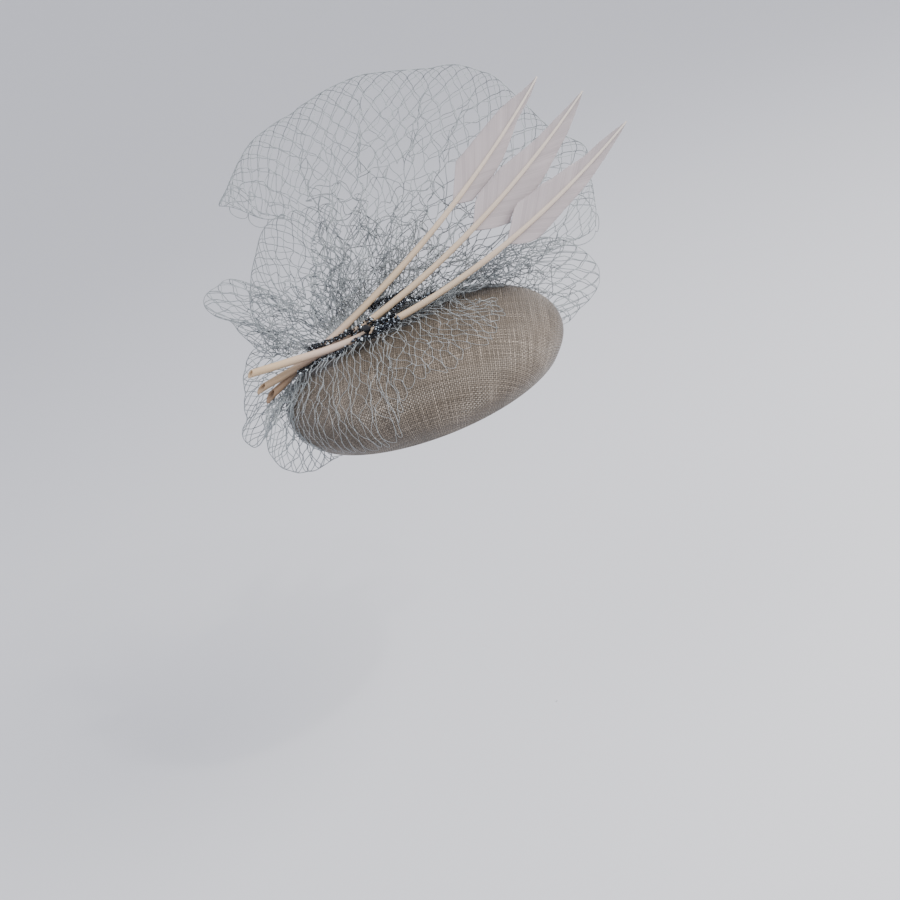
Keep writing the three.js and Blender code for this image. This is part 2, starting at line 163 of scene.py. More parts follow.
def curve_through(points, count):
    """Evenly spaced points on a smooth curve through the given ones."""
    points = np.asarray(points, float)
    ends = np.concatenate([[2 * points[0] - points[1]], points, [2 * points[-1] - points[-2]]])
    places = np.linspace(0, len(points) - 1 - 1e-9, 40 * len(points))
    low = places.astype(int)
    t = (places - low)[:, None]
    a, b, c, d = (ends[low + k] for k in range(4))
    bend, twist = 2 * a - 5 * b + 4 * c - d, 3 * b - a - 3 * c + d
    line = 0.5 * (2 * b + (c - a) * t + bend * t ** 2 + twist * t ** 3)
    length = np.concatenate([[0], np.cumsum(np.linalg.norm(np.diff(line, axis=0), axis=1))])
    even = np.linspace(0, length[-1], count)
    return np.stack([np.interp(even, length, line[:, k]) for k in range(line.shape[1])], -1)


# Materials

class Nodes:
    """A material's nodes, made with short calls."""

    def __init__(self, name, roughness=0.5, **inputs):
        self.material = bpy.data.materials.new(name)
        self.material.use_nodes = True
        self.tree = self.material.node_tree
        self.shader = self.tree.nodes["Principled BSDF"]
        self.shader.inputs["Roughness"].default_value = roughness
        for key, value in inputs.items():
            self.shader.inputs[key.replace("_", " ")].default_value = value

    def add(self, kind, inputs=None, **settings):
        node = self.tree.nodes.new(kind)
        for key, value in settings.items():
            setattr(node, key, value)
        for key, value in (inputs or {}).items():
            if isinstance(value, bpy.types.NodeSocket):
                self.tree.links.new(value, node.inputs[key])
            else:
                node.inputs[key].default_value = value
        return node

    def math(self, operation, a, b=0.0):
        return self.add("ShaderNodeMath", {0: a, 1: b}, operation=operation).outputs[0]

    def mix(self, share, a, b, blend="MIX"):
        inputs = {0: share, 6: a, 7: b}
        return self.add("ShaderNodeMix", inputs, data_type="RGBA", blend_type=blend).outputs[2]

    def blend(self, a, b, share):
        """Two values mixed, share of the second."""
        return self.math("ADD", self.math("MULTIPLY", a, 1 - share), self.math("MULTIPLY", b, share))

    def arch(self, value):
        """A round ridge over each unit of a value."""
        return self.math("ABSOLUTE", self.math("SINE", self.math("MULTIPLY", value, math.pi)))

    def tint(self):
        return self.add("ShaderNodeAttribute", attribute_name="tint").outputs["Fac"]

    def split(self, vector):
        return self.add("ShaderNodeSeparateXYZ", {0: vector}).outputs

    def noise(self, vector, scale, detail=2.0, roughness=0.5):
        inputs = {"Vector": vector, "Scale": scale, "Detail": detail, "Roughness": roughness}
        return self.add("ShaderNodeTexNoise", inputs).outputs["Fac"]

    def stretched(self, vector, x, y, z=1.0):
        return self.add("ShaderNodeMapping", {"Vector": vector, "Scale": (x, y, z)}).outputs[0]

    def ramp(self, value, *stops):
        node = self.add("ShaderNodeValToRGB", {"Fac": value})
        elements = node.color_ramp.elements
        while len(elements) < len(stops):
            elements.new(0.5)
        for element, (place, colour) in zip(elements, stops):
            element.position, element.color = place, (*colour, 1)
        return node.outputs["Color"]

    def uv(self, name):
        return self.add("ShaderNodeUVMap", uv_map=name).outputs[0]

    def place(self):
        return self.add("ShaderNodeTexCoord").outputs["Object"]

    def colour(self, socket):
        self.tree.links.new(socket, self.shader.inputs["Base Color"])

    def bump(self, height, strength, distance):
        inputs = {"Height": height, "Strength": strength, "Distance": distance * METRE}
        node = self.add("ShaderNodeBump", inputs)
        self.tree.links.new(node.outputs[0], self.shader.inputs["Normal"])


def straw_material():
    """Woven straw cloth: flat glossy strands one over one, each with its own shade."""
    m = Nodes("straw", roughness=0.37, Specular_IOR_Level=0.56)
    weave = m.uv("weave")
    places = m.split(weave)
    warp, weft = m.arch(places[0]), m.arch(places[1])
    over = m.add("ShaderNodeTexChecker", {"Vector": weave, "Scale": 1.0}).outputs["Fac"]
    height = m.add("ShaderNodeMix", {0: over, 2: warp, 3: weft}, data_type="FLOAT").outputs[0]
    warp_shade = m.noise(m.stretched(weave, 1.0, 0.025), 1.3, 1.0)
    weft_shade = m.noise(m.stretched(weave, 0.025, 1.0), 1.3, 1.0)
    shade = m.add("ShaderNodeMix", {0: over, 2: warp_shade, 3: weft_shade}, data_type="FLOAT").outputs[0]
    patches = m.noise(m.place(), 22.0, 3.0)
    strand = m.ramp(m.blend(shade, patches, 0.25), (0.3, (0.064, 0.048, 0.031)),
                    (0.45, (0.128, 0.100, 0.072)), (0.57, (0.212, 0.171, 0.131)), (0.72, (0.44, 0.37, 0.30)))
    # The low places between the strands are painted nearly black: a painted shade in the gaps of the weave.
    m.colour(m.mix(m.math("POWER", height, 0.8), (0.03, 0.024, 0.018, 1), strand))
    m.bump(height, 0.9, 0.45)
    return m.material


def quill_material():
    """Bare quill: waxy horn, browner and yellower at the tail, paler and pinker towards the tip."""
    m = Nodes("quill", roughness=0.42, Coat_Weight=0.12, Coat_Roughness=0.25)
    shaft = m.uv("shaft")
    streaks = m.noise(m.stretched(shaft, 6.0, 1.5), 4.0, 4.0, 0.6)
    share = m.split(shaft)[0]
    moved = m.math("ADD", share, m.math("MULTIPLY", m.math("SUBTRACT", streaks, 0.5), 0.16))
    tone = m.ramp(moved, (0.0, (0.56, 0.40, 0.235)), (0.07, (0.62, 0.455, 0.28)), (0.13, (0.60, 0.44, 0.33)),
                  (0.2, (0.55, 0.425, 0.355)), (0.32, (0.54, 0.405, 0.265)), (0.55, (0.58, 0.45, 0.325)),
                  (0.75, (0.65, 0.555, 0.46)), (1.0, (0.70, 0.64, 0.58)))
    fine = m.noise(m.stretched(shaft, 1.0, 14.0), 9.0, 3.0)
    fine_tone = m.mix(m.math("MULTIPLY", fine, 0.35), tone, (0.42, 0.32, 0.22, 1))
    # The last stretch of the tail is darkened, by a share given for each quill.
    near = m.add("ShaderNodeMapRange", {0: share, 1: 0.22, 2: 0.06}).outputs[0]
    darker_tail = m.mix(near, (1, 1, 1, 1), (0.50, 0.45, 0.46, 1))
    m.colour(m.mix(m.tint(), fine_tone, darker_tail, "MULTIPLY"))
    m.bump(fine, 0.25, 0.2)
    return m.material


def vane_material():
    """Feather vane: fine barbs side by side, with paler edges and faint bars where they part, and a painted
    shade towards the tip.
    """
    m = Nodes("vane", roughness=0.72, Sheen_Weight=0.25, Sheen_Roughness=0.5)
    m.shader.inputs["Sheen Tint"].default_value = (0.9, 0.88, 0.95, 1)
    barb = m.uv("barb")
    ridge = m.arch(m.split(barb)[0])
    shade = m.noise(m.stretched(barb, 1.0, 0.04), 0.55, 2.0)
    broad = m.noise(m.stretched(barb, 0.06, 0.05), 1.0, 2.0)
    tone = m.ramp(m.blend(shade, broad, 0.5), (0.3, (0.28, 0.236, 0.24)), (0.5, (0.387, 0.333, 0.338)),
                  (0.7, (0.495, 0.437, 0.437)))
    ridged = m.mix(m.math("MULTIPLY", ridge, 0.22), tone, (0.54, 0.50, 0.508, 1))
    # Towards the tip the vane is darkened: a painted shade.
    near_tip = m.add("ShaderNodeMapRange", {0: m.tint(), 1: 0.35, 2: 0.0}).outputs[0]
    m.colour(m.mix(m.math("MULTIPLY", near_tip, 0.55), ridged, (0.27, 0.245, 0.25, 1)))
    m.bump(ridge, 0.3, 0.12)
    return m.material


def bead_material(name, roughness, metal):
    """Dark glass beads. tint runs from black through gunmetal to bright silver-blue; the palest tints are
    painted glints.
    """
    m = Nodes(name, roughness=roughness, Metallic=metal, Specular_IOR_Level=0.5)
    tone = m.ramp(m.tint(), (0.0, (0.003, 0.0035, 0.005)), (0.55, (0.012, 0.015, 0.022)),
                  (0.8, (0.10, 0.125, 0.16)), (1.0, (0.62, 0.70, 0.76)))
    specks = m.noise(m.place(), 900.0, 1.0)
    m.colour(m.mix(m.math("MULTIPLY", specks, 0.08), tone, (0.06, 0.07, 0.09, 1)))
    return m.material


def net_material():
    """Fine net yarn, dull blue-grey with a faint sheen, a little uneven along its length, its colour scaled
    by a painted shade.
    """
    m = Nodes("net", roughness=0.55, Sheen_Weight=0.2, Sheen_Roughness=0.5)
    uneven = m.noise(m.place(), 160.0, 2.0)
    tone = m.ramp(uneven, (0.3, (0.26, 0.288, 0.30)), (0.7, (0.36, 0.39, 0.404)))
    # tint scales the colour: a painted shade, darker on the sheets lying inside and behind.
    m.colour(m.add("ShaderNodeVectorMath", {0: tone, 3: m.tint()}, operation="SCALE").outputs[0])
    m.bump(m.noise(m.place(), 4000.0, 1.0), 0.3, 0.05)
    return m.material


def comb_material():
    """Smooth horn-coloured comb with soft clouding."""
    m = Nodes("comb", roughness=0.32, Coat_Weight=0.2)
    clouds = m.noise(m.stretched(m.place(), 1.0, 0.4, 1.0), 70.0, 3.0, 0.6)
    m.colour(m.ramp(clouds, (0.35, (0.075, 0.055, 0.038)), (0.65, (0.19, 0.145, 0.10))))
    m.bump(m.noise(m.place(), 600.0, 2.0), 0.12, 0.1)
    return m.material


def stage_material(name, tone):
    m = Nodes(name, roughness=0.9, Specular_IOR_Level=0.1)
    faint = m.noise(m.place(), 1.5, 2.0)
    m.colour(m.mix(m.math("MULTIPLY", faint, 0.06), (*tone, 1), (0.55, 0.56, 0.58, 1)))
    return m.material


STRAW, QUILL, VANE = straw_material(), quill_material(), vane_material()
BEADS, JET = bead_material("beads", 0.12, 0.35), bead_material("jet", 0.05, 0.0)
NET, COMB = net_material(), comb_material()

# The straw base

HALF_LENGTH, HALF_WIDTH, HEIGHT = 86.0, 77.5, 41.0
WALL, SHOULDER, RIM_TUCK, LIP, LIP_THICK = 2.0, 12.0, 6.0, 3.0, 1.2
ROUNDNESS, FLATNESS = 3.0, 2.2
WEAVE_PITCH = 1.14
GRAIN = math.radians(8)  # how far the cloth's strands are turned from the oval's long axis


def profile(inset=0.0, crown_steps=48, side_steps=10):
    """The base's outline from the crown's top down to the rim: (reach, height), the reach as a share
    of the oval."""
    up = np.linspace(math.pi / 2, 0, crown_steps + 1)
    reach = np.cos(up).clip(0) ** (2 / ROUNDNESS)
    height = SHOULDER + (HEIGHT - inset - SHOULDER) * np.sin(up) ** (2 / FLATNESS)
    reach[0] = 0.0
    down = np.linspace(0, 1, side_steps + 1)[1:]
    tuck = RIM_TUCK / HALF_LENGTH
    side_reach = 1 - tuck * (1 - np.cos(down * math.pi / 2))
    return np.concatenate([reach, side_reach]), np.concatenate([height, SHOULDER * (1 - down)])


# The way over the straw from the crown's top, in millimetres, for places given along the outline.
CROWN_STEPS = 400
OUTLINE = profile(0.0, CROWN_STEPS, 60)
CROWN = OUTLINE[0][:CROWN_STEPS + 1], OUTLINE[1][:CROWN_STEPS + 1]
MEAN_RADIUS = (HALF_LENGTH + HALF_WIDTH) / 2
WAY = np.concatenate([[0], np.cumsum(np.hypot(np.diff(OUTLINE[0]) * MEAN_RADIUS, np.diff(OUTLINE[1])))])


def on_straw(flat, lift):
    """Points over the straw from their places (x, y) on the cloth laid flat, lifted off its surface."""
    way, turn = np.hypot(flat[..., 0], flat[..., 1]), np.arctan2(flat[..., 1], flat[..., 0])
    reach = np.interp(way, WAY, OUTLINE[0])
    height = np.interp(way, WAY, OUTLINE[1])
    over = ((height - SHOULDER) / (HEIGHT - SHOULDER)).clip(0)
    return np.stack([
        (HALF_LENGTH + lift) * reach * np.cos(turn), (HALF_WIDTH + lift) * reach * np.sin(turn),
        height + lift * over,
    ], -1)


def flat_place(turn, height):
    """The place on the flat cloth of a point at a turn round the oval and at a height on its outside."""
    way = np.interp(-np.asarray(height, float), -OUTLINE[1], WAY)
    turn = np.radians(turn)
    return polar(way, turn)


def flat_of_plan(x, y):
    """The place on the flat cloth of a point of the crown seen from straight above."""
    x, y = np.asarray(x, float) / HALF_LENGTH, np.asarray(y, float) / HALF_WIDTH
    way = np.interp(np.hypot(x, y), CROWN[0], WAY[:CROWN_STEPS + 1])
    turn = np.arctan2(y, x)
    return polar(way, turn)


def make_base():
    """The blocked shell: its outside, the turned-in lip, and its inside."""
    around = 168
    outer, inner = profile(), profile(WALL, 20, 6)
    reach = np.concatenate([outer[0], [outer[0][-1]] * 2, inner[0][::-1]])
    height = np.concatenate([outer[1], [0.0, LIP_THICK], np.maximum(inner[1][::-1], LIP_THICK + 0.4)])
    inset = np.concatenate([0 * outer[0], [WALL + LIP] * 2, 0 * inner[0] + WALL])
    turn = turns(around)
    points = np.stack([
        ((HALF_LENGTH - inset) * reach)[:, None] * np.cos(turn),
        ((HALF_WIDTH - inset) * reach)[:, None] * np.sin(turn),
        np.repeat(height[:, None], around, 1),
    ], -1)
    step = np.hypot(np.diff(reach * MEAN_RADIUS - inset), np.diff(height))
    way = np.concatenate([[0], np.cumsum(step)])
    lip = len(outer[0])
    way[lip + 1:] = 2 * way[lip] - way[lip + 1:]
    weave = polar(way[:, None], turn + GRAIN)
    add_mesh("base", points.reshape(-1, 3), grid_faces(len(reach), around, wrap=True, flip=True), STRAW,
             ["straw_base"], ("weave", weave.reshape(-1, 2) / WEAVE_PITCH), crease=50)


# Quills and vanes

SHAFT_DIAMETER, SEAT_FROM_END = 4.4, 34.4
SLANT_SHARE = 0.125  # the share of a shaft over which the slant of its cut end fades out
BORE, BORE_DEPTH = 0.62, 9.0  # the hollow in the cut end: its width as a share of the shaft, and its depth
# slant is how far the cut end leans along the shaft, and the last key how much darker the end of the tail is
# made.
QUILLS = [
    dict(side=0.5, above=1.227, yaw=10.8, tail_pitch=18.9, tip_pitch=38.1, bend=1.18, head=199.6,
         overhang=8, slant=8.5, tail_dark=1.0),
    dict(side=-0.614, above=1, yaw=6.3, tail_pitch=6.9, tip_pitch=34.3, bend=0.76, head=210.8,
         overhang=10, slant=7.0, tail_dark=0.55),
    dict(side=-2.182, above=1.682, yaw=2.9, tail_pitch=-5.8, tip_pitch=30, bend=0.71, head=217.8,
         overhang=9.8, slant=3.8, tail_dark=0.0),
]
TAPER_AT, TAPER = (0, 0.35, 0.6, 0.85, 1), (1, 0.93, 0.74, 0.42, 0.2)


class Quill:
    """A shaft's centreline, measured from the seat: negative along the tail, positive to the tip."""

    def __init__(self, side, above, yaw, tail_pitch, tip_pitch, bend, head, overhang, slant, tail_dark):
        yaw, tail, tip = math.radians(yaw), math.radians(tail_pitch), math.radians(tip_pitch)
        self.head, self.slant, self.tail_dark = head, slant, tail_dark
        self.tail = (SEAT_FROM_END + overhang) / (math.cos(yaw) * math.cos(tail))
        self.yaw, self.tail_pitch, self.tip_pitch, self.bend = yaw, tail, tip, bend
        seat = np.array([
            SEAT_FROM_END - HALF_LENGTH, side * SHAFT_DIAMETER, HEIGHT + above * SHAFT_DIAMETER,
        ])
        steps = 400
        middles = (np.arange(steps) + 0.5) * head / steps
        moves = self.along(middles) * head / steps
        self.stations = np.concatenate([seat[None], seat + np.cumsum(moves, 0)])
        self.places = np.linspace(0, head, steps + 1)
        self.front = np.array([math.sin(yaw), -math.cos(yaw), 0.0])

    def along(self, s):
        share = (np.asarray(s, float) / self.head).clip(0) ** self.bend
        pitch = self.tail_pitch + (self.tip_pitch - self.tail_pitch) * share
        flat = np.cos(pitch)
        return np.stack([flat * math.cos(self.yaw), flat * math.sin(self.yaw), np.sin(pitch)], -1)

    def at(self, s):
        s = np.asarray(s, float)
        head = np.stack([np.interp(s, self.places, self.stations[:, k]) for k in range(3)], -1)
        return head + self.along(s) * np.minimum(s, 0)[..., None]

    def thick(self, s):
        share = (np.asarray(s, float) + self.tail) / (self.tail + self.head)
        return SHAFT_DIAMETER * np.interp(share, TAPER_AT, TAPER)

    def up(self, s):
        return np.cross(self.front, self.along(s))

    def beside(self, s, turn, off):
        """A point off the shaft's surface, turned from its top towards the viewer, in degrees."""
        reach, turn = (self.thick(s) / 2 + off)[..., None], np.radians(turn)[..., None]
        return self.at(s) + reach * (self.up(s) * np.cos(turn) + self.front * np.sin(turn))


QUILL_LINES = [Quill(**row) for row in QUILLS]


def make_quill(number, line):
    """A shaft with a slanted, hollow cut end."""
    sides, rows = 20, 110
    turn = turns(sides)
    share = np.linspace(0, 1, rows) ** 1.15
    toward = (1 + np.sin(turn + 0.5)) * line.slant / 2
    fade = (1 - share / SLANT_SHARE).clip(0)
    s = -line.tail + share[:, None] * (line.tail + line.head) + toward * fade[:, None]
    wobble = 1.04 + 0.03 * np.sin(s * 0.11 + number) + 0.02 * np.sin(s * 0.31 + 2 * number)

    def ring(s, scale):
        radius = (line.thick(s) / 2 * scale)[..., None]
        across = line.front * np.cos(turn)[:, None] + line.up(s) * np.sin(turn)[:, None]
        return line.at(s) + radius * across

    inward = [ring(s[0] + BORE_DEPTH, BORE * 0.8), ring(s[0] + 0.3, BORE), ring(s[0] + 0.15, 0.86)]
    points = np.concatenate([inward, ring(s, wobble)]).reshape(-1, 3)
    faces = list(grid_faces(rows + 3, sides, wrap=True))
    faces += [np.arange(sides)[::-1], (rows + 2) * sides + np.arange(sides)]
    shares = np.concatenate([[0.02, 0, 0], share])
    uv = np.stack([np.repeat(shares, sides), np.tile(turn / (2 * math.pi), rows + 3)], -1)
    add_mesh(f"shaft_{number}", points, faces, QUILL, [f"quill_{number}"], ("shaft", uv),
             crease=38, tint=np.full(len(points), line.tail_dark))


# Widths of the trimmed vanes above and below the shaft, at distances from the tip. splits are the
# partings: how far from the tip, and on which side.
VANES = [
    dict(length=85, at=(0, 10, 17, 26, 37, 49, 59, 65, 70, 78, 85),
         above=(0.4, 3.3, 6.5, 9.5, 11.3, 12.7, 13.4, 14.3, 11.3, 6.2, 1.6),
         below=(0.4, 2.0, 2.4, 2.8, 5.4, 8.0, 8.6, 8.3, 8.0, 7.4, 1.0), splits=((52, 1), (30, -1))),
    dict(length=98, at=(0, 11, 22, 34, 45, 54, 61, 71, 76, 81, 87, 92, 98),
         above=(0.4, 2.1, 4.1, 5.6, 7.9, 10.1, 11.6, 12.1, 12.0, 11.8, 9.4, 5.0, 0.6),
         below=(0.4, 3.5, 6.5, 8.5, 10.5, 12.0, 12.1, 11.0, 10.6, 13.2, 10.2, 7.0, 1.2),
         splits=((76, -1), (40, 1))),
    dict(length=93.5, at=(0, 8, 18, 30, 40, 50, 57, 65, 74, 79, 84, 91, 93.5),
         above=(0.4, 2.3, 4.3, 5.5, 8.2, 9.9, 11.9, 12.4, 13.9, 12.1, 7.7, 3.0, 1.2),
         below=(0.4, 1.9, 3.5, 5.4, 6.8, 7.5, 7.8, 8.5, 9.4, 9.6, 8.1, 3.7, 1.2),
         splits=((61, -1), (48, 1))),
]
BARB_PITCH, BARB_STEPS = 0.62, 9
BARB_LEAN = (24, 40)  # degrees from the shaft, at the tip and at the vane's lower end
BARB_LONGEST = 30
BELOW_VANE = 14  # how far below the vane's end the last barbs that reach into it start
PARTING_WIDE, PARTING_DEEP = 1.1, 0.55
VANE_THICK = 0.3


def thin_sheet(front, back, flip):
    """Points and faces of a closed thin sheet between two grids of points."""
    rows, columns = front.shape[:2]
    behind = rows * columns
    loop = ([(0, j) for j in range(columns)] + [(i, columns - 1) for i in range(1, rows)]
            + [(rows - 1, j) for j in range(columns - 2, -1, -1)] + [(i, 0) for i in range(rows - 2, 0, -1)])
    index = [i * columns + j for i, j in loop]
    faces = list(grid_faces(rows, columns, flip=flip))
    faces += list(grid_faces(rows, columns, flip=not flip) + behind)
    for a, b in zip(index, index[1:] + index[:1]):
        quad = [a, b, b + behind, a + behind]
        faces.append(quad if flip else quad[::-1])
    return np.concatenate([front.reshape(-1, 3), back.reshape(-1, 3)]), faces


def barb(vane, widths, side, from_tip, jitter):
    """One barb's steps out to the trimmed outline: distances from the tip, and from the shaft."""
    lean = math.radians(np.interp(from_tip, (0, vane["length"]), BARB_LEAN))
    parting = sum(math.exp(-((from_tip - at) / PARTING_WIDE) ** 2) * (from_tip - at) * PARTING_DEEP
                  for at, which in vane["splits"] if which == side)
    out = np.linspace(0, BARB_LONGEST, 121)
    tip_way = from_tip - out * math.cos(lean)
    room = np.interp(tip_way, vane["at"], widths, left=0.0, right=0.0)
    inside = out[(out * math.sin(lean) <= room) & (tip_way > 0)]
    first, last = (inside[0], inside[-1]) if len(inside) else (0.0, 0.0)
    reach = max(last + jitter, first + 0.05)
    steps = np.linspace(first if first > 0.3 else 0.0, max(reach, 0.3), BARB_STEPS)
    return from_tip - steps * math.cos(lean) - parting * steps / 12, steps * math.sin(lean)


def make_vane(number, line, vane):
    """Barbs side by side from the shaft to the trimmed outline, with hair-thin partings."""
    rng = np.random.default_rng(10 + number)
    parts, uvs, shares = [], [], []
    outward = np.linspace(0, 1, BARB_STEPS)
    for side in (1, -1):
        widths = vane["above"] if side > 0 else vane["below"]
        roots = np.arange(vane["length"] + BELOW_VANE, 0.6, -BARB_PITCH)
        jitter = rng.normal(0, 0.1, len(roots))
        ridge = rng.normal(0, 0.03, len(roots))
        barbs = [barb(vane, widths, side, *root) for root in zip(roots, jitter)]
        tip_way, across = (np.array(rows) for rows in zip(*barbs))
        s = line.head - tip_way.clip(0.02, vane["length"])
        along = line.along(s)
        face = unit(-FORWARD - along * (along @ -FORWARD)[..., None])
        sideways = np.cross(face, along)
        cup = 0.012 * across ** 2 + 0.35 * np.sin(tip_way * 0.16 + number) * (across / 12) ** 2
        behind = line.thick(s) / 2 * 0.2 + 0.5 + cup + ridge[:, None] * outward
        middle = line.at(s) + sideways * (side * across)[..., None] - face * behind[..., None]
        half = face * (VANE_THICK * (1 - 0.6 * outward))[:, None] / 2
        parts.append(thin_sheet(middle + half, middle - half, flip=side < 0))
        place = np.repeat(np.arange(float(len(roots)))[:, None], BARB_STEPS, 1)
        uvs += [np.stack([place, across / 3], -1).reshape(-1, 2)] * 2
        # The share of the way from the tip, which sets the painted shade near the tip.
        shares += [(tip_way / vane["length"]).reshape(-1)] * 2
    points, faces = joined(parts)
    add_mesh(f"feather_{number}", points, faces, VANE, [f"vane_{number}"],
             ("barb", np.concatenate(uvs)), tint=np.concatenate(shares).clip(0, 1))


# Beads

BEAD_DIAMETER, BEAD_CLEAR, ROUND_BEAD = 3.0, 0.7, 5.0
THREADS, STRIP_WIDE, STRIP_HIGH = 6, 2.6, 1.2
BEAD_SIZE, BEAD_SLIM = (0.55, 0.85), 0.78  # a bead's size, and its radius as a share of it
SHORT, TUBE, COVER_TUBE = 1.15, 2.4, 2  # a bead's length as a share of its size
BEAD_TILT = 0.7
# The two palest tints, grey-blue to silver, are painted glints on some beads.
BEAD_TINTS, TINT_SHARES = (0.05, 0.35, 0.6, 0.85, 1.0), (0.34, 0.3, 0.16, 0.11, 0.09)
# Beads that cover a shaft beside a row: on which quill, how many, how far along it and how far round.
COVERS = {
    "bead_row_upper": [(2, 34, (19, 26.5), (25, 120))],
    "bead_bar_front": [(3, 150, (18, 48), (62, 128)), (2, 50, (25, 35), (30, 125))],
    "bead_bar_top": [(3, 120, (33, 49), (-20, 80))],
}
# Each row's way over the quills: on which one, how far along it, and how far round it in degrees.
BEAD_ROWS = {
    "bead_row_upper": [(1, -8.5, -80), (1, -4, -20), (1, 0, 40), (2, 6.7, 17), (2, 13.8, 38), (2, 21, 52)],
    "bead_row_lower": [(2, -19, 108), (2, -11, 126), (2, -3.4, 112), (3, 5.6, 151), (3, 15, 108)],
    "bead_row_inner": [(1, 35, 180), (1, 43, 176), (2, 50, -62), (2, 60, -92)],
    "bead_row_outer": [(2, 47, 134), (2, 56.5, 130), (3, 65, -62), (3, 74, -90)],
    "bead_bar_front": [(3, 22.5, 92), (3, 29, 108), (3, 36, 84), (3, 48, 80)],
    "bead_bar_top": [(3, 35.5, 20), (3, 42, 12), (3, 48, 20)],
}


def bead_shape(centre, axis, radius, length, sides=9, rings=5):
    """A small bead, rounded at its ends, about an axis."""
    axis = unit(axis)
    side = unit(np.cross(axis, [0.3, 0.5, 0.81]))
    other = np.cross(axis, side)
    turn = turns(sides)
    up = np.linspace(-1, 1, rings)
    swell = 1 - np.abs(up) ** 3 * 0.55
    circle = side * np.cos(turn)[None, :, None] + other * np.sin(turn)[None, :, None]
    rings_at = centre + axis * (up * length / 2)[:, None, None] + circle * (swell * radius)[:, None, None]
    faces = list(grid_faces(rings, sides, wrap=True))
    faces += [np.arange(sides)[::-1], (rings - 1) * sides + np.arange(sides)]
    return rings_at.reshape(-1, 3), faces


def make_bead_row(name, spots, seed):
    """Small round and short tube beads in uneven threads side by side."""
    rng = np.random.default_rng(seed)
    off_shaft = BEAD_DIAMETER / 2 + BEAD_CLEAR
    line = curve_through([QUILL_LINES[on - 1].beside(np.array(float(s)), np.array(float(turn)), off_shaft)
                          for on, s, turn in spots], 200)
    length = length_of(line)
    along = unit(np.gradient(line, axis=0))
    side = unit(np.cross(along, [0.0, 0.0, 1.0]))
    up = np.cross(side, along)
    parts, tint = [], []

    def add_bead(centre, along, size, longs):
        axis = along + BEAD_TILT * rng.normal(0, 1, 3)
        long = size * (longs[0] if len(longs) == 1 else rng.choice(longs))
        parts.append(bead_shape(centre, axis, size * BEAD_SLIM, long))
        tint.extend([rng.choice(BEAD_TINTS, p=TINT_SHARES)] * len(parts[-1][0]))

    for thread in range(THREADS):
        place = rng.uniform(0, 0.6)
        while place < length:
            share = TUBE if rng.random() < 0.3 else SHORT
            size = rng.uniform(*BEAD_SIZE)
            long = size * share
            i = min(int((place + long / 2) / length * 199), 199)
            turn = thread * 2 * math.pi / THREADS + rng.normal(0, 0.35) + place * 0.25
            sideways = side[i] * math.cos(turn) * STRIP_WIDE + up[i] * math.sin(turn) * STRIP_HIGH
            add_bead(line[i] + rng.uniform(0.5, 1.0) * sideways, along[i], size, (share,))
            place += long * rng.uniform(0.85, 1.25)
    for on, count, (first, last), (low, high) in COVERS.get(name, ()):
        shaft = QUILL_LINES[on - 1]
        for _ in range(count):
            s, size = np.array(rng.uniform(first, last)), rng.uniform(*BEAD_SIZE)
            centre = shaft.beside(s, np.array(rng.uniform(low, high)), rng.uniform(0.45, 1.15))
            add_bead(centre, shaft.along(s), size, (SHORT, COVER_TUBE))
    points, faces = joined(parts)
    add_mesh(name.replace("bead_", "beading_"), points, faces, BEADS, [name], tint=tint)


def make_round_bead():
    """The one larger bead, its surface left in small flats that catch the light."""
    low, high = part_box("round_bead")
    centre = np.array(low + high) / 2 / METRE
    rings, sides = 9, 12
    up = np.linspace(0, math.pi, rings)[:, None]
    turn = turns(sides)
    height = np.repeat(np.cos(up), sides, 1)[..., None]
    points = centre + np.concatenate([polar(np.sin(up), turn), height], -1) * ROUND_BEAD / 2
    add_mesh("jet_bead", points.reshape(-1, 3), grid_faces(rings, sides, wrap=True, flip=True), JET,
             ["round_bead"], tint=[0.0] * rings * sides, smooth=False)


# The net

CELL = 9.0  # side of one cell
DIAMOND = CELL * math.sqrt(2)
YARN, DRAPE_YARN = 0.29, 0.122  # radius of the yarn
DRAPE_SHADE = 0.98  # how pale its yarn is painted, the same painted-shade factor as on the lobes' sheets


class Waves:
    """A smooth uneven field over the net, made of a few waves."""

    def __init__(self, seed, shortest, longest, count=14):
        rng = np.random.default_rng(seed)
        length = np.exp(rng.uniform(math.log(shortest), math.log(longest), count))
        heading = rng.uniform(0, 2 * math.pi, count)
        self.k = polar(1, heading) * (2 * math.pi / length)[:, None]
        self.phase = rng.uniform(0, 2 * math.pi, (count, 3))
        self.size = (length / longest) ** 0.5
        self.size /= math.sqrt((self.size ** 2).sum() / 2)

    def __call__(self, p, q):
        flat = self.k[:, 0] * p[..., None] + self.k[:, 1] * q[..., None]
        return np.stack([(np.cos(flat + self.phase[:, k]) * self.size).sum(-1) for k in range(3)], -1)


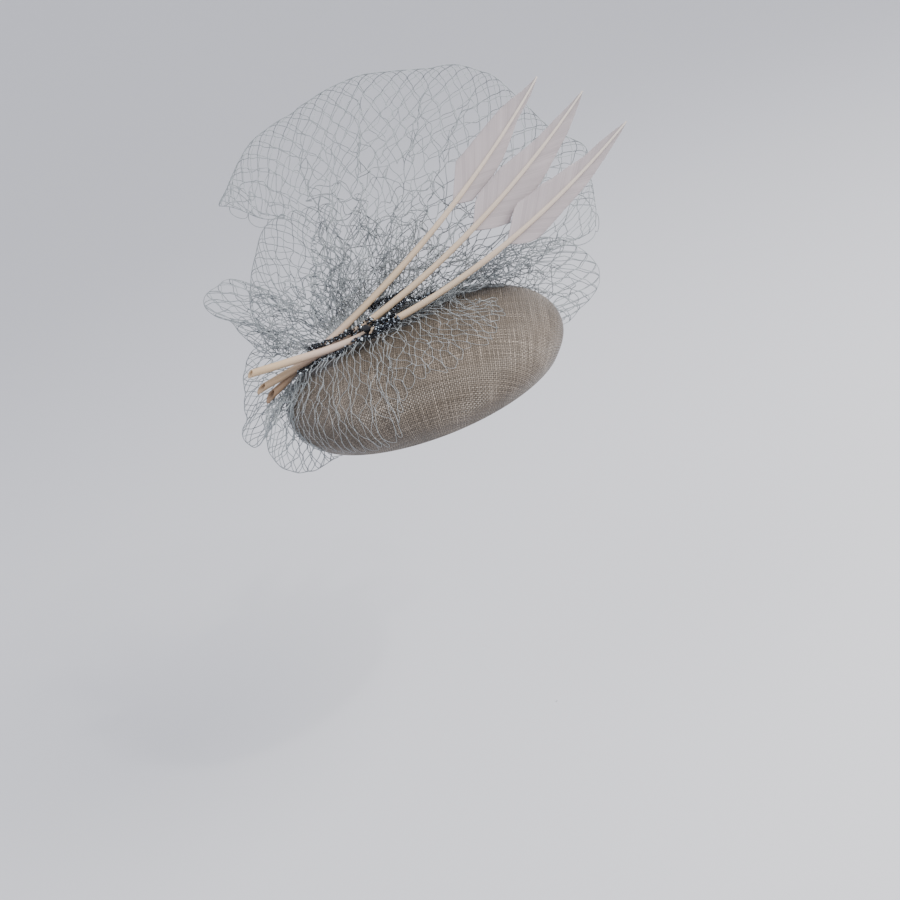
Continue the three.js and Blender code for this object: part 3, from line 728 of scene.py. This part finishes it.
class Sheet:
    """A stretch of net laid out on a surface, with its places counted in cells: p across, q outward.

    surface(t, r) gives points for shares across and outward. Rows keep their real spacing along r."""

    STEPS = 161
    CALM, CALM_REACH = 0.88, 0.13  # how much calmer, and how far from the outline

    def __init__(self, surface, across, seed, rough, crumple, folds=(), turns_at=None):
        t, r = np.meshgrid(np.linspace(0, 1, self.STEPS), np.linspace(0, 1, self.STEPS), indexing="ij")
        points = surface(t, r)
        steps = np.linalg.norm(np.diff(points, axis=1), axis=2)
        way = np.concatenate([np.zeros((self.STEPS, 1)), np.cumsum(steps, 1)], 1)
        self.rows = max(2, round(float(np.median(way[:, -1])) / DIAMOND * 2) / 2)
        self.across = across
        even = np.empty_like(points)
        for i in range(self.STEPS):
            wanted = np.linspace(0, way[i, -1], self.STEPS)
            for k in range(3):
                even[i, :, k] = np.interp(wanted, way[i], points[i, :, k])
        self.points = even
        dt, dr = np.gradient(even, axis=(0, 1))
        self.sideways = unit(dt)
        self.normal = unit(np.cross(dt, dr))
        self.broad = Waves(seed, 1.6, 5.0)
        self.fine = Waves(seed + 500, 0.7, 1.5, 24)
        self.rough, self.crumple, self.folds = rough, crumple, folds
        self.outline = None
        if turns_at is not None:
            share = turns_at(t[:, 0])
            self.outline = np.array([np.interp(at, r[0], row / row[-1]) for at, row in zip(share, way)])

    def sample(self, field, p, q):
        i = (p / self.across).clip(0, 1) * (self.STEPS - 1)
        j = (q / self.rows).clip(0, 1) * (self.STEPS - 1)
        i0, j0 = np.minimum(i.astype(int), self.STEPS - 2), np.minimum(j.astype(int), self.STEPS - 2)
        a, b = (i - i0)[..., None], (j - j0)[..., None]
        return ((field[i0, j0] * (1 - a) + field[i0 + 1, j0] * a) * (1 - b)
                + (field[i0, j0 + 1] * (1 - a) + field[i0 + 1, j0 + 1] * a) * b)

    def at(self, p, q):
        p, q = np.asarray(p, float), np.asarray(q, float)
        point = self.sample(self.points, p, q)
        normal = unit(self.sample(self.normal, p, q))
        sideways = unit(self.sample(self.sideways, p, q))
        over_p = np.minimum(0, p) + np.maximum(0, p - self.across)
        over_q = np.maximum(0, q - self.rows)
        outward = unit(self.sample(np.gradient(self.points, axis=1), p, q)) if np.any(over_q) else 0
        point = point + sideways * over_p[..., None] * DIAMOND + outward * over_q[..., None] * DIAMOND
        share, free = (p / self.across).clip(0, 1), (q / self.rows).clip(0, 1)
        ease = np.interp(free, (0, 0.15, 1), (0.6, 1, 1))
        if self.outline is not None:
            turn = np.interp(share, np.linspace(0, 1, self.STEPS), self.outline)
            ease = ease * (1 - self.CALM * np.exp(-((free - turn) / self.CALM_REACH) ** 2))
        for fold in self.folds:
            far = (share - fold["at"] - fold.get("lean", 0) * free) / fold["wide"]
            bell = np.exp(-far ** 2) * np.interp(free, (0, 0.15, 1), (0, 1, 0.8)) * ease
            point = point + normal * (fold["deep"] * bell)[..., None]
            point = point - sideways * (fold["over"] * far * bell)[..., None]
        return point + (self.broad(p, q) * self.rough + self.fine(p, q) * self.crumple) * ease[..., None]

    def rim(self, first, last):
        """The yarn that shows as the outline between two shares of the width."""
        p = np.arange(first * self.across, last * self.across, 0.125)
        turn = np.interp(p / self.across, np.linspace(0, 1, self.STEPS), self.outline)
        return self.at(p, turn * self.rows)


SIDE_STEPS = 4  # samples along one side of a cell
PINCH = 0.03  # how far the two yarns run together at a knot, in cells


LOOP_DEEP = 0.55  # how far a loop on the free edge reaches, in cells


def strands(sheet, looped=False):
    """The yarns of a sheet of net, two families that meet at each knot, and the knots. looped adds
    the loops along its free edge."""
    across, rows = sheet.across, sheet.rows
    top = rows - 0.5 if looped else rows
    lines, knots = [], []
    q = np.arange(0, top + 1e-6, 0.5 / SIDE_STEPS)
    for way in (1, -1):
        for start in np.arange(-math.ceil(rows) - 1, math.ceil(across + rows) + 2):
            p = start + way * q
            keep = np.nonzero((p >= -1e-6) & (p <= across + 1e-6))[0]
            if len(keep) <= SIDE_STEPS:
                continue
            pinched = p - way * PINCH * np.sin(4 * math.pi * q)
            points = sheet.at(pinched[keep], q[keep])
            lines.append(points)
            if way > 0:
                knots.append(points[keep % SIDE_STEPS == 0])
    if looped:
        swing = np.linspace(0, math.pi, 13)
        half = 0.0 if abs((top * 2) % 2) > 1e-6 else 0.5
        for middle in np.arange(0, across + 1.0) + half:
            if middle >= 0.5 and middle + 0.5 <= across:
                outward = top + LOOP_DEEP * np.sin(swing) ** 0.75
                lines.append(sheet.at(middle - 0.5 * np.cos(swing), outward))
    return lines, np.concatenate(knots)


KNOT = 0.5  # radius of a knot
KNOT_POINTS = np.array([(1, 0, 0), (0, 1, 0), (-1, 0, 0), (0, -1, 0), (0, 0, 1), (0, 0, -1)], float) * KNOT
KNOT_FACES = np.array([(0, 1, 4), (1, 2, 4), (2, 3, 4), (3, 0, 4),
                       (1, 0, 5), (2, 1, 5), (3, 2, 5), (0, 3, 5)])


def knot_mesh(knots):
    """Points and faces of the knots, each a small octahedron."""
    points = (knots[:, None] + KNOT_POINTS).reshape(-1, 3)
    faces = (KNOT_FACES[None] + 6 * np.arange(len(knots))[:, None, None]).reshape(-1, 3)
    return points, list(faces)


def add_net(name, lines, knots, line_shades, knot_shades, radius=YARN, sides=3):
    """A piece made of a net's yarns and knots, in place of the solid name."""
    points, faces = joined([tube(line, radius, sides) for line in lines] + [knot_mesh(knots)])
    counts = [len(line) * sides for line in lines]
    shades = np.concatenate([np.repeat(line_shades, counts), np.repeat(knot_shades, len(KNOT_POINTS))])
    add_mesh(name.replace("veil", "net"), points, faces, NET, [name], tint=shades)


def curve_by_share(rows):
    """A smooth curve through rows of numbers, by the share of its length."""
    line = curve_through(rows, 240)
    share = np.linspace(0, 1, len(line))
    return lambda t: np.stack([np.interp(t, share, column) for column in line.T], -1)


WHOLE = (0.0, 1.0)
END_EASE = 0.08  # the share over which the turning back fades in at the ends


def fan(edge, root, front, back, wrap, free=WHOLE):
    """A surface that fans out of its gathered root to an outline, all as the camera sees them:
    rows of (x, y, away). It bulges towards the viewer by front, and past the outline it turns back
    behind by back for a share wrap of the way, except near its ends outside the shares free.

    Also gives the share of the way at which each part of it reaches the outline."""
    edge, root = curve_by_share(edge), curve_by_share(root)
    first, last = free

    def wrapped(t):
        if free == WHOLE:
            return wrap + 0 * t
        return wrap * np.interp(t, (first, first + END_EASE, last - END_EASE, last), (0, 1, 1, 0))

    def surface(t, r):
        angle = r * (1 + wrapped(t)) * math.pi / 2
        flat = root(t) + (edge(t) - root(t)) * np.sin(angle)[..., None]
        bulge = np.where(angle < math.pi / 2, front, back) * np.sin(2 * angle)
        return seen(flat[..., 0], flat[..., 1], flat[..., 2] - bulge)

    return surface, lambda t: 1 / (1 + wrapped(t))


def as_seen(points):
    """Points as (x, y, away), the reverse of seen()."""
    flat = points - EYE
    depth = flat @ FORWARD
    return np.stack([flat @ RIGHT * REACH / depth, flat @ UP * REACH / depth, depth - REACH], -1)


QUILL_CLEAR = 3.4  # how far behind a shaft's centreline the net passes
VANE_ROOM, SLOPE_REACH = 2.0, 9  # how far past a vane that holds, and the reach of the slope beyond


def behind_quills(points):
    """Moves points straight away from the viewer until they pass behind the shafts and the vanes."""
    at = as_seen(points)
    least = np.full(len(at), -1e3)
    for line, vane in zip(QUILL_LINES, VANES):
        s = np.linspace(-line.tail, line.head, 90)
        shaft = as_seen(line.at(s))
        wide = np.interp(line.head - s, vane["at"], vane["above"], right=0) + VANE_ROOM
        for place, half in zip(shaft, wide):
            off = np.hypot(at[:, 0] - place[0], at[:, 1] - place[1])
            slope = ((off - half).clip(0) / SLOPE_REACH) ** 2 * SLOPE_REACH
            least = np.maximum(least, place[2] + QUILL_CLEAR - slope)
    at[:, 2] = np.maximum(at[:, 2], least)
    return seen(*at.T)


def outside_straw(points, clear=0.45, deepest=2.5):
    """Moves points just under the straw's outside onto it, the shorter way. Also tells which points
    lie deeper than that, inside the base, where the net doesn't go."""
    x, y, z = points[:, 0], points[:, 1], points[:, 2]
    reach_there = np.interp(-z.clip(0, HEIGHT), -OUTLINE[1], OUTLINE[0])
    reach = np.hypot(x / HALF_LENGTH, y / HALF_WIDTH)
    over_top = z - np.interp(reach, *CROWN)
    beside = (reach - reach_there) * np.hypot(x, y) / np.maximum(reach, 0.05)
    near = (z > -deepest) & (reach < 1 + clear / HALF_WIDTH) & (over_top < clear) & (beside < clear)
    up = near & (reach < 0.995) & (over_top >= beside)
    out = near & ~up
    moved = points.copy()
    moved[up, 2] += (clear - over_top)[up]
    moved[out, :2] *= (1 + (clear - beside) / np.hypot(x, y))[out, None]
    return moved, (up & (over_top < -deepest)) | (out & (beside < -deepest))


def below_hem(points, hem):
    """Tells which points the viewer sees under a hem, rows of (x, y) from left to right."""
    at = as_seen(points)
    xs, ys = np.array(hem).T
    return (at[:, 0] < xs[-1]) & (at[:, 1] < np.interp(at[:, 0], xs, ys))


def without(line, gone):
    """The stretches of a line that are left when some of its points are gone."""
    ends = np.flatnonzero(np.diff(np.concatenate([[True], gone, [True]]).astype(int)))
    return [line[a:b] for a, b in zip(ends[::2], ends[1::2]) if b - a > 2]


# The places where the lobes are gathered, as rows of (x, y, away) that the camera sees.
GATHER = [(-66, 57, -18), (-51, 67, -17), (-36, 75, -15)]
SIDE_ROOT = [(-74, 58, -17), (-60, 66, -17), (-50, 72, -16)]
RIGHT_ROOT = [(-34, 80, -4), (-28, 80, 0), (-22, 78, 2)]

# The sheets of each lobe. edge is its outline, root where it is gathered, front and back its bulge.
# full is how much wider the net is than the outline, rough and crumple are how uneven it is, and shade
# is how pale its yarn is painted: below 1 it is a painted shade on the sheets that lie inside and behind.
# looped adds loops along the outline. rim is the stretch of the outline with a yarn along it, and hem is a
# border that the net stops at.
FANS = {
    "veil_back": [dict(
        edge=[(-84, 131, 4), (-93, 132.5, 4), (-102, 135.5, 5), (-112, 139, 6), (-122, 142, 7),
            (-132, 145.5, 8), (-138.6, 146.4, 8), (-134, 157, 9), (-128, 170, 10), (-119, 185, 11),
            (-104, 197, 12), (-87, 208, 12), (-71, 218, 12), (-46, 226, 12), (-22, 228.5, 12),
            (2, 231, 12), (20, 227.6, 12), (30, 221.6, 13), (46, 207, 14), (56, 196, 14),
            (69, 188.4, 15), (82, 181, 16), (85, 160, 18), (88.2, 141, 20), (86, 132, 20),
            (75.6, 127, 20), (65, 128, 20)],
        root=GATHER, front=15, back=24, wrap=0.55, free=(0.115, 0.93), seed=1, rough=1.2, crumple=0.5,
        full=1.25, rim=(0.125, 0.9), hem_away=7,
        hem=[(-138.6, 146.4), (-132.3, 146), (-127, 144.5), (-121, 142), (-115, 139.5), (-109, 138.4),
            (-102, 138.8), (-93, 137.5), (-84, 133)],
        folds=(
            dict(at=0.3, wide=0.014, deep=-8, over=7, lean=0.03),
            dict(at=0.44, wide=0.018, deep=9, over=8),
            dict(at=0.53, wide=0.014, deep=-8, over=7, lean=0.02),
            dict(at=0.62, wide=0.014, deep=-8, over=7),
            dict(at=0.74, wide=0.018, deep=7, over=6),
        ),
    ), dict(
        edge=[(-84, 160, -4), (-76, 166, -10), (-64, 158, -5), (-50, 168, -12), (-36, 160, -5),
            (-22, 164, -10), (-6, 156, -6), (6, 150, -8), (20, 140, -2)],
        root=GATHER, front=7, seed=2, rough=3.0, crumple=1.6, looped=True, shade=0.9,
    ), dict(
        edge=[(-82, 140, -10), (-68, 134, -8), (-55, 146, -14), (-42, 138, -8), (-28, 146, -14),
            (-14, 134, -8), (0, 134, -10), (14, 124, -4)],
        root=GATHER, front=6, seed=3, rough=3.2, crumple=1.8, looped=True, shade=0.7,
    ), dict(
        edge=[(-60, 126, -16), (-44, 130, -10), (-30, 134, -18), (-16, 130, -10), (-2, 130, -16),
            (12, 122, -8), (24, 112, -12), (34, 104, -4)],
        root=GATHER, front=4, seed=13, rough=3.2, crumple=2.0, looped=True, shade=0.55,
    )],
    "veil_side": [dict(
        edge=[(-109, 62, -4), (-116, 75, -4), (-120, 90, -3), (-119, 107, -2), (-115, 123, -2),
            (-110, 135, -2), (-99, 142, -2), (-84, 146, -2), (-70, 149, -2)],
        root=SIDE_ROOT, front=9, back=10, wrap=0.7, seed=4, rough=1.5, full=1.3, crumple=0.7,
        rim=(0.05, 0.75),
    ), dict(
        edge=[(-104, 58, -8), (-108, 78, -12), (-100, 90, -7), (-98, 102, -13), (-86, 108, -8),
            (-76, 116, -14), (-62, 112, -8)],
        root=SIDE_ROOT, front=6, seed=5, rough=2.6, crumple=1.5, full=1.3, looped=True,
    )],
    "veil_ear": [dict(
        edge=[(-113, 58, -3), (-119, 63.5, -3), (-125.6, 70, -4), (-132.3, 78, -3), (-140.8, 80.3, -4),
            (-145.8, 84, -3), (-147.5, 89, -2), (-144.5, 94.5, -3), (-134, 102.2, -4),
            (-126, 101.5, -3), (-118, 99, -3), (-111, 97, -3)],
        root=[(-84, 60, -12), (-80, 68, -11), (-78, 76, -10)], front=5, back=6, wrap=0.75, seed=6,
        rough=1.3, crumple=0.9, full=1.5, rim=(0.05, 0.93),
    )],
    "veil_left": [dict(
        edge=[(-114, 64, -6), (-120.6, 57, -6), (-123, 48, -5), (-123.9, 40.8, -5), (-123, 33, -4),
            (-123.5, 24.8, -4), (-122, 17.5, -4), (-124.3, 12.5, -4), (-123.9, 7.2, -4),
            (-121.4, 3.7, -4), (-117.6, 1.6, -4), (-113.8, 3.3, -4), (-111.3, 7.9, -4), (-109, 16, -4),
            (-105, 26, -4)],
        root=[(-84, 60, -13), (-84, 54, -13), (-84, 48, -13)], front=5, back=6, wrap=0.8, seed=7,
        rough=1.4, crumple=1.0, full=1.55, rim=(0.05, 0.95),
    )],
    "veil_hem": [dict(
        edge=[(-109, 30, -22), (-110.9, 17.2, -25), (-110, 6, -27), (-108, -2, -28),
            (-104.5, -7.2, -30), (-99.5, -11.4, -32), (-91, -13.6, -33), (-82.7, -12.6, -33),
            (-75.9, -9.6, -32), (-69.2, -5.4, -31), (-64, -3, -31)],
        root=[(-96, 40, -20), (-90, 40, -21), (-84, 38, -22)], front=4, back=3, wrap=0.8, seed=8,
        rough=1.4, crumple=1.0, full=1.6, rim=(0.02, 0.97),
    )],
    "veil_right": [dict(
        edge=[(36, 124, 8), (48, 127, 9), (60, 127.5, 10), (71, 125, 13), (80.5, 119, 16),
            (87.5, 112, 18), (89.6, 104, 20), (87.5, 96, 21), (83, 90, 22), (77, 84, 22), (72, 77, 22),
            (66, 72, 22)],
        root=RIGHT_ROOT, front=6, back=10, wrap=0.7, seed=9, rough=1.5, crumple=0.8, full=1.5,
        rim=(0.05, 0.93),
    ), dict(
        edge=[(30, 118, 10), (44, 114, 4), (54, 112, 12), (66, 104, 8), (74, 96, 14), (70, 84, 18),
            (62, 76, 20)],
        root=RIGHT_ROOT, front=4, seed=12, rough=2.6, crumple=1.7, full=1.2, looped=True, shade=0.9,
    ), dict(
        edge=[(20, 110, 10), (34, 106, 4), (46, 98, 12), (54, 92, 8), (58, 84, 14), (50, 78, 18)],
        root=RIGHT_ROOT, front=3, seed=15, rough=2.4, crumple=1.8, full=1.2, looped=True, shade=0.75,
    )],
    "veil_gather": [dict(
        edge=[(-92, 84, -18), (-86, 94, -23), (-80, 94, -18), (-72, 106, -24), (-62, 106, -18),
            (-52, 116, -24), (-40, 112, -18), (-30, 118, -22), (-18, 110, -16), (-8, 112, -18),
            (2, 102, -12)],
        root=GATHER, front=4, seed=10, rough=2.8, crumple=1.9, looped=True, shade=0.8,
    ), dict(
        edge=[(-86, 72, -20), (-78, 82, -24), (-70, 84, -20), (-62, 94, -24), (-50, 92, -20),
            (-40, 98, -22), (-28, 92, -16), (-18, 92, -16)],
        root=GATHER, front=3, seed=11, rough=2.6, crumple=1.9, looped=True, shade=0.7,
    ), dict(
        edge=[(-50, 100, -20), (-38, 106, -24), (-26, 104, -18), (-14, 106, -20), (-2, 100, -14),
            (8, 98, -12), (18, 90, -6)],
        root=GATHER, front=3, seed=16, rough=2.6, crumple=1.9, looped=True, shade=0.5,
    )],
}

# Loops that hang free of a lobe's outline: their two ends and the lowest point between, seen (x, y).
HANGING = {
    "veil_back": [
        dict(ends=((-132.3, 146), (-121, 142.2)), low=(-127, 139.3), away=8),
        dict(ends=((-121, 142), (-109, 138.4)), low=(-115.5, 133.8), away=8),
        dict(ends=((88, 142), (87.4, 131.5)), low=(89.4, 135), away=20),
        dict(ends=((87.4, 131.5), (74, 126.5)), low=(80, 123.6), away=20),
    ],
}

# The front of the veil lies over the crown, from beside the beads to a looped edge. Its root is seen
# from straight above, and its edge is given by (degrees round the oval, height).
DRAPE_ROOT = [(-74, -3), (-64, -3.5), (-56, -3), (-48, -4.5), (-40, -7.5), (-26, -9), (-10, -9), (4, -4),
              (16, 1), (27, 6)]
DRAPE_EDGE = [(178, 20), (190, 15), (200, 8), (210, 6), (222, 5), (230, 6), (237, 5), (245, 5.5), (251, 10),
              (254.5, 20), (258, 29), (264, 31.5), (272, 32), (281, 32), (289, 34), (303, 33.5), (315, 34.6),
              (332, 36.5), (351, 37.6)]
DRAPE_CELLS = 40  # across its width
OVER_ROW, OVER_CELLS, OVER_FADE = 5.6, 0.75, 0.65  # how much its first cells are raised beside the beads
DRAPE_LIFT, DRAPE_LOOSE, DRAPE_HIGHEST = 0.7, 0.45, 5  # its height off the straw, and its unevenness


def drape_surface():
    """The places of the drape on the straw's cloth laid flat."""
    root = curve_by_share(flat_of_plan(*np.array(DRAPE_ROOT, float).T))
    edge = curve_by_share(flat_place(*np.array(DRAPE_EDGE, float).T))

    def surface(t, r):
        flat = root(t) + (edge(t) - root(t)) * r[..., None]
        return np.concatenate([flat, 0 * flat[..., :1]], -1)

    return surface


class Drape(Sheet):
    """Net over the crown: laid out on the flat cloth, then lifted clear of the straw."""

    def at(self, p, q):
        flat = super().at(p, q)
        raised = OVER_ROW * np.exp(-((np.asarray(q, float) - OVER_CELLS).clip(0) / OVER_FADE) ** 2)
        loose = DRAPE_LOOSE * np.abs(flat[..., 2]).clip(0, DRAPE_HIGHEST)
        return on_straw(flat[..., :2], DRAPE_LIFT + raised + loose)


def fan_yarns(row):
    """The yarns and the knots of one sheet of a lobe."""
    wrap = row.get("wrap", 0.0)
    surface, turns_at = fan(row["edge"], row["root"], row["front"], row.get("back", 0), wrap,
                            row.get("free", WHOLE))
    length = length_of(curve_through(row["edge"], 200)[:, :2])
    across = max(3, round(length * row.get("full", 1.0) / DIAMOND))
    sheet = Sheet(surface, across, row["seed"], row.get("rough", 1.6), row.get("crumple", 0.8),
                  row.get("folds", ()), turns_at if wrap else None)
    lines, knots = strands(sheet, row.get("looped", False))
    if "rim" in row:
        lines.append(sheet.rim(*row["rim"]))
    if "hem" in row:
        lines = [piece for line in lines for piece in without(line, below_hem(line, row["hem"]))]
        knots = knots[~below_hem(knots, row["hem"])]
        lines.append(seen(*curve_through([(x, y, row["hem_away"]) for x, y in row["hem"]], 60).T))
    return lines, knots


def hanging_loop(ends, low, away):
    """A slack loop of yarn between two ends, as the camera sees them."""
    (x0, y0), (x2, y2) = ends
    swing = np.linspace(0, math.pi, 15)
    drop = np.sin(swing) ** 0.7
    x = (x0 + x2) / 2 - (x2 - x0) / 2 * np.cos(swing) + (low[0] - (x0 + x2) / 2) * drop
    y = y0 + (y2 - y0) * (1 - np.cos(swing)) / 2 + (low[1] - (y0 + y2) / 2) * drop
    return seen(x, y, away + 0 * x)


def make_veil():
    for name, fans in FANS.items():
        shaded, knots, knot_shades = [], [], []
        for row in fans:
            lines, crossings = fan_yarns(row)
            # The painted shade of this sheet's yarn.
            shade = row.get("shade", 1.0)
            shaded += [(line, shade) for line in lines]
            knots.append(crossings)
            knot_shades += [shade] * len(crossings)
        shaded += [(hanging_loop(**loop), 1.0) for loop in HANGING.get(name, ())]
        kept, kept_shades = [], []
        for line, shade in shaded:
            pieces = without(*outside_straw(behind_quills(line)))
            kept += pieces
            kept_shades += [shade] * len(pieces)
        knots, gone = outside_straw(behind_quills(np.concatenate(knots)))
        add_net(name, kept, knots[~gone], kept_shades, np.array(knot_shades)[~gone])
    drape = Drape(drape_surface(), DRAPE_CELLS, 20, rough=1.1, crumple=0.55)
    lines, knots = strands(drape, looped=True)
    add_net("veil_front", lines, knots, [DRAPE_SHADE] * len(lines), [DRAPE_SHADE] * len(knots), DRAPE_YARN)


# Floor and light

def make_stage():
    """A round pale floor whose rim sweeps up, and an even sky."""
    flat, rim, rise, low, around = 1.8, 5.0, 2.2, -0.26, 96
    sweep = np.linspace(0, 1, 25)[1:]
    radius = np.concatenate([[0.001, flat / 2, flat], flat + (rim - flat) * np.sin(sweep * math.pi / 2)])
    height = np.concatenate([[low] * 3, low + rise * (1 - np.cos(sweep * math.pi / 2))])
    turn = turns(around)
    points = np.stack([radius[:, None] * np.cos(turn), radius[:, None] * np.sin(turn),
                       np.repeat(height[:, None], around, 1)], -1).reshape(-1, 3)
    mesh = bpy.data.meshes.new("floor")
    mesh.from_pydata(points.tolist(), [], grid_faces(len(radius), around, wrap=True).tolist())
    mesh.polygons.foreach_set("use_smooth", [True] * len(mesh.polygons))
    mesh.materials.append(stage_material("floor", (0.72, 0.725, 0.75)))
    piece = bpy.data.objects.new("floor", mesh)
    bpy.context.scene.collection.objects.link(piece)
    world = bpy.data.worlds.new("world")
    world.use_nodes = True
    background = world.node_tree.nodes["Background"]
    background.inputs[0].default_value = (0.86, 0.866, 0.94, 1)
    background.inputs[1].default_value = 1.17
    bpy.context.scene.world = world


def add_light(name, right, up, away, size, power, colour):
    """A soft light at a place given from the hat's middle, in the viewer's directions, in metres."""
    data = bpy.data.lights.new(name, "AREA")
    data.shape, data.size, data.energy, data.color = "DISK", size, power, colour
    light = bpy.data.objects.new(name, data)
    place = Vector(right * RIGHT + up * UP + away * FORWARD) + Vector((0, 0, 0.05))
    light.location = place
    light.rotation_euler = (Vector((0, 0, 0.05)) - place).to_track_quat("-Z", "Y").to_euler()
    bpy.context.scene.collection.objects.link(light)


make_base()
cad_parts["hair_comb"].data.materials.clear()
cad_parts["hair_comb"].data.materials.append(COMB)
for number, (line, vane) in enumerate(zip(QUILL_LINES, VANES), 1):
    make_quill(number, line)
    make_vane(number, line, vane)
for seed, (row_name, spots) in enumerate(BEAD_ROWS.items(), 30):
    make_bead_row(row_name, spots, seed)
make_round_bead()
make_veil()
make_stage()
add_light("key", 0.8, 0.85, -0.75, 0.8, 24, (1.0, 0.98, 0.95))
add_light("spark", 0.55, 0.85, -1.0, 0.06, 5, (1.0, 0.99, 0.97))
add_light("window", -1.3, 0.6, -0.9, 1.2, 6, (0.92, 0.95, 1.0))
